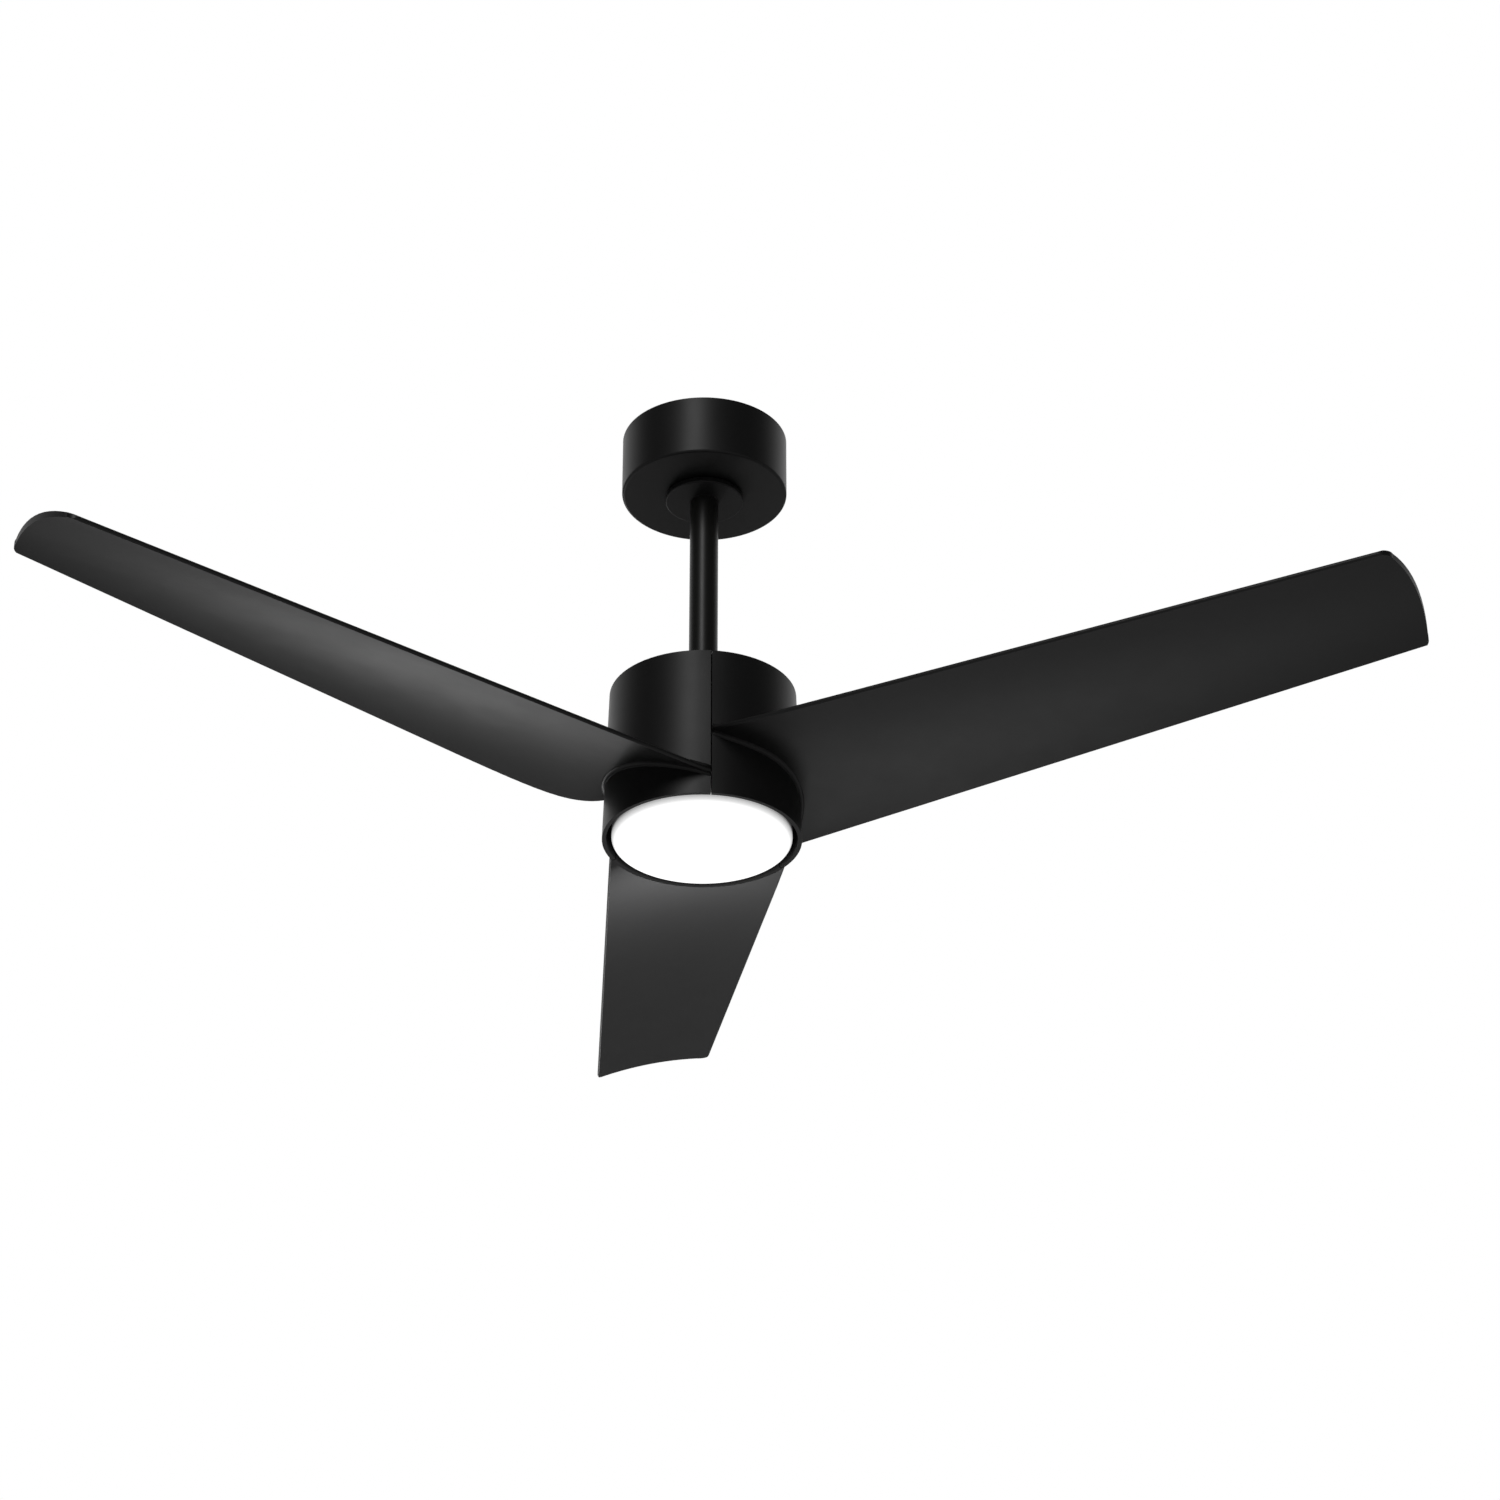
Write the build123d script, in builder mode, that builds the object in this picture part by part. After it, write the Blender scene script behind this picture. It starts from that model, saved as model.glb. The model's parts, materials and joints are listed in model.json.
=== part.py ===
from build123d import *
import math
import os

# A ceiling fan with a light. A ball-hung rod carries a hollow-shaft motor, three blades and an LED light.
# Millimetres. The origin is the centre of the ceiling plane and +Z is up, so the whole fan is below zero.

os.makedirs("parts", exist_ok=True)

# --- Driving dimensions -------------------------------------------------------------------------------

# Canopy, which covers the bracket
CANOPY_RADIUS = 74.2
CANOPY_TOP = -0.5
CANOPY_BOTTOM = -58.0
CANOPY_WALL = 1.2
CANOPY_EDGE = 2.5
CANOPY_HOLE_RADIUS = 18.0
CANOPY_SCREW_X = 25.5

# Ceiling bracket, with an ear that carries the receiver
PLATE = 2.5
BAR_LENGTH = 124.0
BAR_WIDTH = 44.0
EAR_WIDTH = 44.0
EAR_END_Y = -62.0
CEILING_SLOT_SPACING = 89.0
CEILING_SLOT_LENGTH = 16.0
CEILING_SLOT_WIDTH = 5.5
LEG_INNER_X = 28.5
LEG_WIDTH = 26.0
FOOT_INNER_X = 21.0
FOOT_WIDTH = 20.0
SEAT_TOP = -38.0
SEAT_BOTTOM = -50.0
SEAT_OUTER_RADIUS = 30.0
SEAT_OPENING = 27.5
EARTH_SCREW = (-18.0, 14.0)

# Screws: radius, head radius and head height
SCREW_3 = (1.5, 2.8, 1.8)
SCREW_4 = (2.0, 3.6, 2.2)
SCREW_5 = (2.5, 4.2, 3.0)
SCREW_SLACK = 0.2
FIT_GAP = 0.3

# Hanger ball and its nylon liner. All their round faces share the ball's centre.
BALL_Z = -32.0
BALL_RADIUS = 23.0
BALL_TOP = -16.0
BALL_BOTTOM = -49.0
BALL_GAP = 0.3
LINER_OUTER_RADIUS = 26.0
KEY_WIDTH = 4.0
GROOVE_WIDTH = 5.0
RIB_WIDTH = 26.5

# Receiver, a small case with a board
RECEIVER_LENGTH = 68.0
RECEIVER_DEPTH = 24.0
RECEIVER_HEIGHT = 22.0
RECEIVER_Y = -48.0
RECEIVER_WALL = 1.6
RECEIVER_SCREW_X = 16.0
RECEIVER_LID = 2.0
RECEIVER_BOARD = (60.0, 16.0, 1.6)
RECEIVER_BOARD_Z = -14.0
PLUG_Z = -9.0

# Terminal block for the house supply, on the bracket's left leg
TERMINAL_DEPTH = 12.0
TERMINAL_LENGTH = 32.0
TERMINAL_TOP = -9.0
TERMINAL_BOTTOM = -25.0
WIRE_LEVELS = (-13.5, -20.5)
CLAMP_SCREW_RADIUS = 1.4
CLAMP_SCREW_Y = (-8.0, 8.0)
TERMINAL_SCREW_Y = (-9.0, 9.0)
SLEEVE_RADIUS = 3.0
SLEEVE_BORE_RADIUS = 1.9
SLEEVE_LENGTH = 26.0
RECEIVER_WIRE_X = -26.0

# Rod
ROD_RADIUS = 12.7
ROD_BORE_RADIUS = 10.7
ROD_TOP = -18.0
ROD_BOTTOM = -272.0
PIN_RADIUS = 3.0
BALL_PIN_Z = -26.0
CLEVIS_PIN_Z = -254.0
SLIP = 0.05

# Trim disc that closes the canopy round the rod
TRIM_RADIUS = 35.0
TRIM_TOP = -59.6
TRIM_BOTTOM = -64.4
TRIM_WALL = 2.0
TRIM_HOLE_RADIUS = 13.6
GROMMET_RADIUS = 16.0
GROMMET_FLANGE = 2.0

# Hub shell
HUB_RADIUS = 86.0
HUB_TOP_RADIUS = 81.8
HUB_TOP = -268.0
HUB_BOTTOM = -410.0
HUB_WALL = 3.5
SEAM_GAP = 1.0

# Blades. In a blade's own frame u runs outward along +X and v runs along +Y, towards the trailing edge.
# Both edges run straight from ROOT_U to FAR_U. Near the root the leading edge is pulled in to the shell.
# Each is given by its straight run's two ends and by where it meets the shell. Heights are above the
# hub's bottom. Past STRAIGHT_U the pull has died out.
BLADE_COUNT = 3
FIRST_BLADE_ANGLE = -25.0
ROOT_U = 43.0
FAR_U = 650.0
ROOT_PULL = 28.0
STRAIGHT_U = 190.0
LEADING_PLAN = (-92.0, -60.5, -74.5)
TRAILING_PLAN = (74.5, 46.0, 74.5)
LEADING_HEIGHT = (47.0, 93.0, 61.0)
TRAILING_HEIGHT = (19.0, 67.0, 19.0)
ROOT_CAMBER = 0.20
TIP_CAMBER = 0.29
SECTIONS_AT = (34, 60, 86, 112, 138, 164, STRAIGHT_U)
LAST_SECTION_AT = 660.0
BLADE_EDGE = 4.4
BLADE_MIDDLE = 6.4
EDGE_ROUND = 1.6
TIP_U = 634.0
TIP_BULGE = 6.0
LEADING_CORNER = 12.0
TRAILING_CORNER = 8.0
PAST_BLADE = 100.0
WEB_TOP = -343.0
WEB = 5.0
WEB_INNER_RADIUS = 42.0
BLADE_SCREW_CIRCLE = 50.0
BLADE_SCREW_SPREAD = 36.0
LEDGE_TOP = -271.0
LEDGE = 2.5
LEDGE_INNER_RADIUS = 70.0
TOP_SCREW_CIRCLE = 74.0
TOP_COVER = 2.2
GASKET_OUTER_RADIUS = 57.0
GASKET_INNER_RADIUS = 43.0

# Rod coupling and its cover
COLLAR_RADIUS = 18.0
COLLAR_TOP = -246.0
COLLAR_BOTTOM = -276.0
NECK_RADIUS = 13.0
SET_SCREW_Z = -265.0
SET_SCREW_RADIUS = 3.0
SET_SCREW_LENGTH = 8.0
COUPLING_BORE_RADIUS = 7.0
COVER_RADIUS = 24.0
COVER_TOP = -240.0
COVER_BOTTOM = -272.0
COVER_WALL = 1.5
COVER_EDGE = 5.0

# Motor
SHAFT_RADIUS = 8.5
SHAFT_BORE_RADIUS = 5.5
SHAFT_TOP = -275.0
SHAFT_BOTTOM = -362.0
MOTOR_TOP = -290.0
MOTOR_SPLIT = -316.0
MOTOR_BOTTOM = -342.0
MOTOR_RADIUS = 58.0
MOTOR_WALL = 3.5
FLANGE_RADIUS = 66.0
FLANGE = 3.0
HOUSING_SCREW_CIRCLE = 62.0
HOUSING_SCREWS = 6
UPPER_BEARING_TOP = -293.0
LOWER_BEARING_TOP = -331.0
BEARING_WIDTH = 10.0
BEARING_OUTER_RADIUS = 17.5
BEARING_BALL_RADIUS = 2.35
BEARING_PITCH_RADIUS = 13.0
BEARING_BALLS = 10
INNER_RING_RADIUS = 11.0
OUTER_RING_BORE_RADIUS = 15.0
CAGE_OUTER_RADIUS = 13.9
CAGE_INNER_RADIUS = 12.1
CAGE_HEIGHT = 6.4
BOSS_RADIUS = 21.5
STATOR_TOP = -308.0
STATOR_BOTTOM = -326.0
STATOR_RADIUS = 48.0
STATOR_BORE_RADIUS = 20.0
YOKE_RADIUS = 29.0
TEETH = 12
TOOTH_WIDTH = 6.0
TOOTH_TIP = 4.5
TOOTH_SLOT = 5.0
WINDING_OVERHANG = 3.4
WINDING_SIDE = 2.6
MAGNETS = 14
AIR_GAP = 0.6
BACK_IRON = 3.0
BOARD_TOP = -333.0
BOARD_RADIUS = 46.0
BOARD_BORE_RADIUS = 22.8
SENSOR_CIRCLE = 44.0
BOARD_POST_CIRCLE = 25.5
NUT_FLAT = 12.0
NUT = 6.0

# Light
PAN_RADIUS = 75.0
PAN_TOP = -356.0
PAN_BOTTOM = -398.0
PAN_WALL = 1.5
PAN_LIP_RADIUS = 81.3
PAN_LIP_TOP = -380.0
PILLAR_CIRCLE = 60.0
PILLAR_ANGLES = (30, 150, 270)
PILLAR_RADIUS = 4.0
LED_BOARD_TOP = -392.0
LED_BOARD_RADIUS = 70.0
LED_BOARD = 1.6
LED_CIRCLES = ((16, 5), (33, 11), (50, 16))
LED_SIZE = (4.0, 4.0, 1.0)
DRIVER_Y = 32.0
DRIVER_LENGTH = 60.0
DRIVER_WIDTH = 30.0
DRIVER_HEIGHT = 16.0
DRIVER_TAB = 2.0
DRIVER_TAB_LENGTH = 76.0
DRIVER_TAB_WIDTH = 12.0
DRIVER_SCREW_X = 34.0
DIFFUSER_RADIUS = 77.8
DIFFUSER_FACE = -413.0
DIFFUSER_TOP = -384.0
DIFFUSER_WALL = 2.0
DIFFUSER_EDGE = 6.0
LUG_TOP = -388.0
LUG_HEIGHT = 2.5
LUG_ARC = 8.0
LUG_INNER_RADIUS = 72.8
TWIST = 18.0

# Wiring
HARNESS_RADIUS = 2.8
HARNESS_OFFSET = 6.5
LEAD_RADIUS = 1.2
HARNESS_BEND = 7.0
LEAD_BEND = 8.0
LIGHT_LEAD_RADIUS = 0.9
LIGHT_LEAD_X = 4.0

UP = (Align.CENTER, Align.CENTER, Align.MIN)
DOWN = (Align.CENTER, Align.CENTER, Align.MAX)


# --- Shared shapes. Each one joins the piece that is being built. -------------------------------------


def disc(radius, top, bottom, mode=Mode.ADD, at=(0, 0)):
    """A round solid with a vertical axis, between two heights."""
    with Locations((at[0], at[1], bottom)):
        Cylinder(radius, top - bottom, align=UP, mode=mode)


def ring(outer, inner, top, bottom):
    """A ring about the fan's axis. It clears whatever the piece already has inside it."""
    disc(outer, top, bottom)
    disc(inner, top, bottom, Mode.SUBTRACT)


def block(size, centre, mode=Mode.ADD):
    """A box about its centre."""
    with Locations(centre):
        Box(*size, mode=mode)


def bar(start, direction, radius, length, mode=Mode.ADD):
    """A round bar from a start point along a direction."""
    with Locations(Plane(origin=start, z_dir=direction)):
        Cylinder(radius, length, align=UP, mode=mode)


def pan_screw(seat, direction, length, size):
    """A cross-slotted screw. seat is the point under its head, and direction is where the head points."""
    radius, head_radius, head_height = size
    plane = Plane(origin=seat, z_dir=direction)
    with Locations(plane):
        Cylinder(head_radius, head_height, align=UP)
        Cylinder(radius, length, align=DOWN)
    with Locations(plane.offset(head_height)):
        Box(head_radius, head_radius * 0.25, head_height, mode=Mode.SUBTRACT)
        Box(head_radius * 0.25, head_radius, head_height, mode=Mode.SUBTRACT)


def flat_screw(top, direction, radius, length, head_radius):
    """A countersunk screw. top is the middle of its head's face."""
    plane = Plane(origin=top, z_dir=direction)
    sink = head_radius - radius
    with Locations(plane):
        Cylinder(radius, length, align=DOWN)
        Cone(radius, head_radius, sink, align=DOWN)
        Box(head_radius, head_radius * 0.25, sink, mode=Mode.SUBTRACT)
        Box(head_radius * 0.25, head_radius, sink, mode=Mode.SUBTRACT)


def flat_screw_hole(top, direction, radius, length, head_radius):
    """The hole that a countersunk screw fills."""
    with Locations(Plane(origin=top, z_dir=direction)):
        Cylinder(radius, length, align=DOWN, mode=Mode.SUBTRACT)
        Cone(radius, head_radius, head_radius - radius, align=DOWN, mode=Mode.SUBTRACT)


def on_circle(radius, angle):
    """A point on a circle about the fan's axis, from its angle in degrees."""
    return radius * math.cos(math.radians(angle)), radius * math.sin(math.radians(angle))


def save(piece, name):
    """Labels a finished piece and writes it."""
    piece.label = name
    export_step(piece, f"parts/{name}.step")


# --- Ceiling mount, which stays still -----------------------------------------------------------------

foot_bottom = CANOPY_BOTTOM + CANOPY_WALL
foot_top = foot_bottom + PLATE
leg_outer_x = LEG_INNER_X + PLATE
terminal_middle = (TERMINAL_TOP + TERMINAL_BOTTOM) / 2
seat_sphere_radius = LINER_OUTER_RADIUS + BALL_GAP

with BuildPart() as ceiling_bracket:
    with BuildSketch(Plane.XY.offset(-PLATE)):
        RectangleRounded(BAR_LENGTH, BAR_WIDTH, 8)
        with Locations((0, EAR_END_Y / 2)):
            RectangleRounded(EAR_WIDTH, -EAR_END_Y, 6)
        with GridLocations(CEILING_SLOT_SPACING, 0, 2, 1):
            SlotOverall(CEILING_SLOT_LENGTH, CEILING_SLOT_WIDTH, mode=Mode.SUBTRACT)
    extrude(amount=PLATE)
    disc(SEAT_OUTER_RADIUS, SEAT_TOP, SEAT_BOTTOM)
    for side in (-1, 1):
        leg_x = side * (LEG_INNER_X + leg_outer_x) / 2
        foot_x = side * (FOOT_INNER_X + leg_outer_x) / 2
        block((PLATE, LEG_WIDTH, -foot_bottom), (leg_x, 0, foot_bottom / 2))
        block((leg_outer_x - FOOT_INNER_X, FOOT_WIDTH, PLATE), (foot_x, 0, (foot_top + foot_bottom) / 2))
    with Locations((0, 0, BALL_Z)):
        Sphere(seat_sphere_radius, mode=Mode.SUBTRACT)
    block((SEAT_OPENING, SEAT_OUTER_RADIUS, 20), (0, SEAT_OUTER_RADIUS / 2, SEAT_TOP - 5), Mode.SUBTRACT)
    for side in (-1, 1):
        disc(SCREW_4[0], foot_top, foot_bottom, Mode.SUBTRACT, (side * CANOPY_SCREW_X, 0))
        flat_screw_hole((side * RECEIVER_SCREW_X, RECEIVER_Y, 0), (0, 0, 1), SCREW_3[0], PLATE, SCREW_3[1])
    disc(SCREW_4[0], 0, -PLATE, Mode.SUBTRACT, EARTH_SCREW)
    for y in TERMINAL_SCREW_Y:
        bar((-LEG_INNER_X, y, terminal_middle), (-1, 0, 0), SCREW_3[0], PLATE, Mode.SUBTRACT)
save(ceiling_bracket.part, "ceiling_bracket")

with BuildPart() as earth_screw:
    pan_screw((*EARTH_SCREW, -PLATE - 1), (0, 0, -1), PLATE + 1, SCREW_4)
    disc(5.5, -PLATE, -PLATE - 1, at=EARTH_SCREW)
save(earth_screw.part, "earth_screw")

with BuildPart() as canopy:
    with BuildSketch(Plane.XZ):
        with BuildLine():
            Polyline(
                (CANOPY_RADIUS - CANOPY_WALL, CANOPY_TOP),
                (CANOPY_RADIUS, CANOPY_TOP),
                (CANOPY_RADIUS, CANOPY_BOTTOM),
                (CANOPY_HOLE_RADIUS, CANOPY_BOTTOM),
                (CANOPY_HOLE_RADIUS, foot_bottom),
                (CANOPY_RADIUS - CANOPY_WALL, foot_bottom),
                close=True,
            )
        make_face()
    revolve(axis=Axis.Z)
    bottom_edges = canopy.faces().sort_by(Axis.Z)[0].edges()
    fillet(bottom_edges.sort_by(SortBy.RADIUS)[-1], CANOPY_EDGE)
    floor_edges = canopy.edges().filter_by_position(Axis.Z, foot_bottom - 0.01, foot_bottom + 0.01)
    fillet(floor_edges.sort_by(SortBy.RADIUS)[-1], CANOPY_EDGE - CANOPY_WALL)
    for side in (-1, 1):
        place = (side * CANOPY_SCREW_X, 0)
        disc(SCREW_4[0] + SCREW_SLACK, foot_bottom, CANOPY_BOTTOM, Mode.SUBTRACT, place)
save(canopy.part, "canopy")

with BuildPart() as canopy_screws:
    for side in (-1, 1):
        pan_screw((side * CANOPY_SCREW_X, 0, CANOPY_BOTTOM), (0, 0, -1), 6, SCREW_4)
save(canopy_screws.part, "canopy_screws")

receiver_top = -PLATE
receiver_bottom = receiver_top - RECEIVER_HEIGHT
receiver_lid_top = receiver_bottom + RECEIVER_LID
receiver_inner_y = RECEIVER_Y + RECEIVER_DEPTH / 2
socket_size = (11, 12, 8)
socket_y = receiver_inner_y + 1.5

with BuildPart() as receiver_case:
    with BuildSketch(Plane.XY.offset(receiver_lid_top)):
        with Locations((0, RECEIVER_Y)):
            RectangleRounded(RECEIVER_LENGTH, RECEIVER_DEPTH, 3)
    extrude(amount=receiver_top - receiver_lid_top)
    with BuildSketch(Plane.XY.offset(receiver_lid_top)):
        with Locations((0, RECEIVER_Y)):
            RectangleRounded(RECEIVER_LENGTH - 2 * RECEIVER_WALL, RECEIVER_DEPTH - 2 * RECEIVER_WALL, 1.5)
    extrude(amount=receiver_top - receiver_lid_top - RECEIVER_WALL, mode=Mode.SUBTRACT)
    for side in (-1, 1):
        post = (side * RECEIVER_SCREW_X, RECEIVER_Y)
        disc(3, receiver_top - RECEIVER_WALL, receiver_top - 8, at=post)
        disc(SCREW_3[0], receiver_top, receiver_top - 7, Mode.SUBTRACT, post)
    block(socket_size, (0, socket_y, PLUG_Z), Mode.SUBTRACT)
    for z in WIRE_LEVELS:
        bar((RECEIVER_WIRE_X, receiver_inner_y, z), (0, -1, 0), LEAD_RADIUS, RECEIVER_WALL, Mode.SUBTRACT)
save(receiver_case.part, "receiver_case")

with BuildPart() as receiver_lid:
    with BuildSketch(Plane.XY.offset(receiver_bottom)):
        with Locations((0, RECEIVER_Y)):
            RectangleRounded(RECEIVER_LENGTH, RECEIVER_DEPTH, 3)
    extrude(amount=receiver_lid_top - receiver_bottom)
    fillet(receiver_lid.faces().sort_by(Axis.Z)[0].edges(), 0.8)
save(receiver_lid.part, "receiver_lid")

with BuildPart() as receiver_board:
    block(RECEIVER_BOARD, (0, RECEIVER_Y, RECEIVER_BOARD_Z))
    # A relay, a chip and a capacitor under the board, and the socket above it
    board_under = RECEIVER_BOARD_Z - RECEIVER_BOARD[2] / 2
    for size, x in (((14, 10, 5), 22), ((10, 8, 4), -4)):
        block(size, (x, RECEIVER_Y, board_under - size[2] / 2))
    disc(3.5, board_under, board_under - 5.2, at=(8, RECEIVER_Y))
    block(socket_size, (0, socket_y, PLUG_Z))
    block((6, 8, 6), (0, receiver_inner_y - 7, -11))
save(receiver_board.part, "receiver_board")

with BuildPart() as receiver_screws:
    for side in (-1, 1):
        flat_screw((side * RECEIVER_SCREW_X, RECEIVER_Y, 0), (0, 0, 1), SCREW_3[0], 9, SCREW_3[1])
save(receiver_screws.part, "receiver_screws")

terminal_x = -leg_outer_x - TERMINAL_DEPTH / 2

with BuildPart() as terminal_block:
    size = (TERMINAL_DEPTH, TERMINAL_LENGTH, TERMINAL_TOP - TERMINAL_BOTTOM)
    block(size, (terminal_x, 0, terminal_middle))
    fillet(terminal_block.edges().filter_by(Axis.Y), 1)
    for z in WIRE_LEVELS:
        bar((terminal_x, -TERMINAL_LENGTH / 2, z), (0, 1, 0), SLEEVE_RADIUS, TERMINAL_LENGTH, Mode.SUBTRACT)
        for y in CLAMP_SCREW_Y:
            bar((terminal_x, y, z), (-1, 0, 0), CLAMP_SCREW_RADIUS, TERMINAL_DEPTH, Mode.SUBTRACT)
    for y in TERMINAL_SCREW_Y:
        bar((-leg_outer_x, y, terminal_middle), (-1, 0, 0), SCREW_3[0], 2.5, Mode.SUBTRACT)
save(terminal_block.part, "terminal_block")

with BuildPart() as terminal_sleeves:
    for z in WIRE_LEVELS:
        start = (terminal_x, -SLEEVE_LENGTH / 2, z)
        bar(start, (0, 1, 0), SLEEVE_RADIUS, SLEEVE_LENGTH)
        bar(start, (0, 1, 0), SLEEVE_BORE_RADIUS, SLEEVE_LENGTH, Mode.SUBTRACT)
        for y in CLAMP_SCREW_Y:
            bar((terminal_x, y, z), (-1, 0, 0), CLAMP_SCREW_RADIUS, 4, Mode.SUBTRACT)
save(terminal_sleeves.part, "terminal_sleeves")

with BuildPart() as terminal_screws:
    for z in WIRE_LEVELS:
        for y in CLAMP_SCREW_Y:
            bar((terminal_x - LEAD_RADIUS - 0.2, y, z), (-1, 0, 0), CLAMP_SCREW_RADIUS, 4)
    for y in TERMINAL_SCREW_Y:
        pan_screw((-LEG_INNER_X, y, terminal_middle), (1, 0, 0), 5, SCREW_3)
save(terminal_screws.part, "terminal_screws")

with BuildPart() as supply_leads:
    for z in WIRE_LEVELS:
        with BuildLine() as route:
            FilletPolyline(
                (terminal_x, -6, z),
                (terminal_x, -20.5, z),
                (RECEIVER_WIRE_X, -20.5 + terminal_x - RECEIVER_WIRE_X, z),
                (RECEIVER_WIRE_X, receiver_inner_y - RECEIVER_WALL, z),
                radius=LEAD_BEND,
            )
        with BuildSketch(Plane(origin=route.line @ 0, z_dir=route.line % 0)):
            Circle(LEAD_RADIUS)
        sweep(path=route.line)
save(supply_leads.part, "supply_leads")

# --- Hanger ball, its liner and the rod ---------------------------------------------------------------

liner_inner_radius = BALL_RADIUS + BALL_GAP

with BuildPart() as seat_liner:
    with Locations((0, 0, BALL_Z)):
        Sphere(LINER_OUTER_RADIUS)
    block((RIB_WIDTH, 10, 11), (0, 23.5, SEAT_TOP - 5.5))
    with Locations((0, 0, BALL_Z)):
        Sphere(liner_inner_radius, mode=Mode.SUBTRACT)
    block((KEY_WIDTH, 3.5, 10), (0, 22.7, SEAT_TOP - 5))
    split(bisect_by=Plane.XY.offset(SEAT_TOP + 1), keep=Keep.BOTTOM)
    split(bisect_by=Plane.XY.offset(SEAT_BOTTOM - 0.5), keep=Keep.TOP)
save(seat_liner.part, "seat_liner")

with BuildPart() as hanger_ball:
    with Locations((0, 0, BALL_Z)):
        Sphere(BALL_RADIUS)
    split(bisect_by=Plane.XY.offset(BALL_TOP), keep=Keep.BOTTOM)
    split(bisect_by=Plane.XY.offset(BALL_BOTTOM), keep=Keep.TOP)
    disc(ROD_RADIUS + SLIP, ROD_TOP, BALL_BOTTOM, Mode.SUBTRACT)
    disc(ROD_BORE_RADIUS, BALL_TOP, ROD_TOP, Mode.SUBTRACT)
    block((GROOVE_WIDTH, 6, 40), (0, BALL_RADIUS, BALL_Z), Mode.SUBTRACT)
    bar((-BALL_RADIUS, 0, BALL_PIN_Z), (1, 0, 0), PIN_RADIUS + SLIP, 2 * BALL_RADIUS, Mode.SUBTRACT)
    bar((0, -ROD_RADIUS, SEAT_TOP), (0, -1, 0), 2.5, BALL_RADIUS, Mode.SUBTRACT)
save(hanger_ball.part, "hanger_ball")

with BuildPart() as ball_pin:
    bar((-19, 0, BALL_PIN_Z), (1, 0, 0), PIN_RADIUS, 38)
    chamfer(ball_pin.edges().filter_by(GeomType.CIRCLE), 0.5)
save(ball_pin.part, "ball_pin")

with BuildPart() as ball_set_screw:
    bar((0, -ROD_RADIUS, SEAT_TOP), (0, -1, 0), 2.5, 8)
    with Locations(Plane(origin=(0, -ROD_RADIUS - 8, SEAT_TOP), z_dir=(0, -1, 0))):
        Cylinder(1.4, 3, align=DOWN, mode=Mode.SUBTRACT)
save(ball_set_screw.part, "ball_set_screw")

with BuildPart() as downrod:
    disc(ROD_RADIUS, ROD_TOP, ROD_BOTTOM)
    chamfer(downrod.edges().filter_by(GeomType.CIRCLE), 0.5)
    disc(ROD_BORE_RADIUS, ROD_TOP, ROD_BOTTOM, Mode.SUBTRACT)
    for z in (BALL_PIN_Z, CLEVIS_PIN_Z):
        bar((-ROD_RADIUS, 0, z), (1, 0, 0), PIN_RADIUS + SLIP, 2 * ROD_RADIUS, Mode.SUBTRACT)
save(downrod.part, "downrod")

# --- Trim disc and its grommet, which slide on the rod ------------------------------------------------

trim_floor = TRIM_BOTTOM + TRIM_WALL
grommet_bore = ROD_RADIUS + SLIP

with BuildPart() as canopy_trim:
    disc(TRIM_RADIUS, TRIM_TOP, TRIM_BOTTOM)
    fillet(canopy_trim.faces().sort_by(Axis.Z)[0].edges(), 1.2)
    disc(TRIM_RADIUS - TRIM_WALL, TRIM_TOP, trim_floor, Mode.SUBTRACT)
    disc(TRIM_HOLE_RADIUS, TRIM_TOP, TRIM_BOTTOM, Mode.SUBTRACT)
save(canopy_trim.part, "canopy_trim")

with BuildPart() as trim_grommet:
    disc(TRIM_HOLE_RADIUS, trim_floor, TRIM_BOTTOM)
    disc(GROMMET_RADIUS, trim_floor + GROMMET_FLANGE, trim_floor)
    disc(grommet_bore, trim_floor + GROMMET_FLANGE, TRIM_BOTTOM, Mode.SUBTRACT)
save(trim_grommet.part, "trim_grommet")

# --- Coupling between the rod and the motor shaft -----------------------------------------------------

with BuildPart() as rod_coupling:
    disc(COLLAR_RADIUS, COLLAR_TOP, COLLAR_BOTTOM)
    chamfer(rod_coupling.faces().sort_by(Axis.Z)[-1].edges(), 1)
    disc(NECK_RADIUS, COLLAR_BOTTOM, MOTOR_TOP)
    disc(INNER_RING_RADIUS, MOTOR_TOP, UPPER_BEARING_TOP)
    disc(ROD_RADIUS + SLIP, COLLAR_TOP, ROD_BOTTOM, Mode.SUBTRACT)
    disc(COUPLING_BORE_RADIUS, ROD_BOTTOM, SHAFT_TOP, Mode.SUBTRACT)
    disc(SHAFT_RADIUS, SHAFT_TOP, UPPER_BEARING_TOP, Mode.SUBTRACT)
    bar((-COLLAR_RADIUS, 0, CLEVIS_PIN_Z), (1, 0, 0), PIN_RADIUS + SLIP, 2 * COLLAR_RADIUS, Mode.SUBTRACT)
    bar((0, -COLLAR_RADIUS, SET_SCREW_Z), (0, 1, 0), SET_SCREW_RADIUS, 2 * COLLAR_RADIUS, Mode.SUBTRACT)
save(rod_coupling.part, "rod_coupling")

clip_x = COLLAR_RADIUS + 1.6
clip_radius = 0.7

with BuildPart() as clevis_pin:
    bar((-COLLAR_RADIUS, 0, CLEVIS_PIN_Z), (1, 0, 0), PIN_RADIUS, 2 * COLLAR_RADIUS + 3.4)
    bar((-COLLAR_RADIUS, 0, CLEVIS_PIN_Z), (-1, 0, 0), 4.5, 1.6)
    chamfer(clevis_pin.faces().sort_by(Axis.X)[-1].edges(), 0.6)
    disc(clip_radius + SLIP, CLEVIS_PIN_Z + PIN_RADIUS, CLEVIS_PIN_Z - PIN_RADIUS, Mode.SUBTRACT, (clip_x, 0))
save(clevis_pin.part, "clevis_pin")

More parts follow.
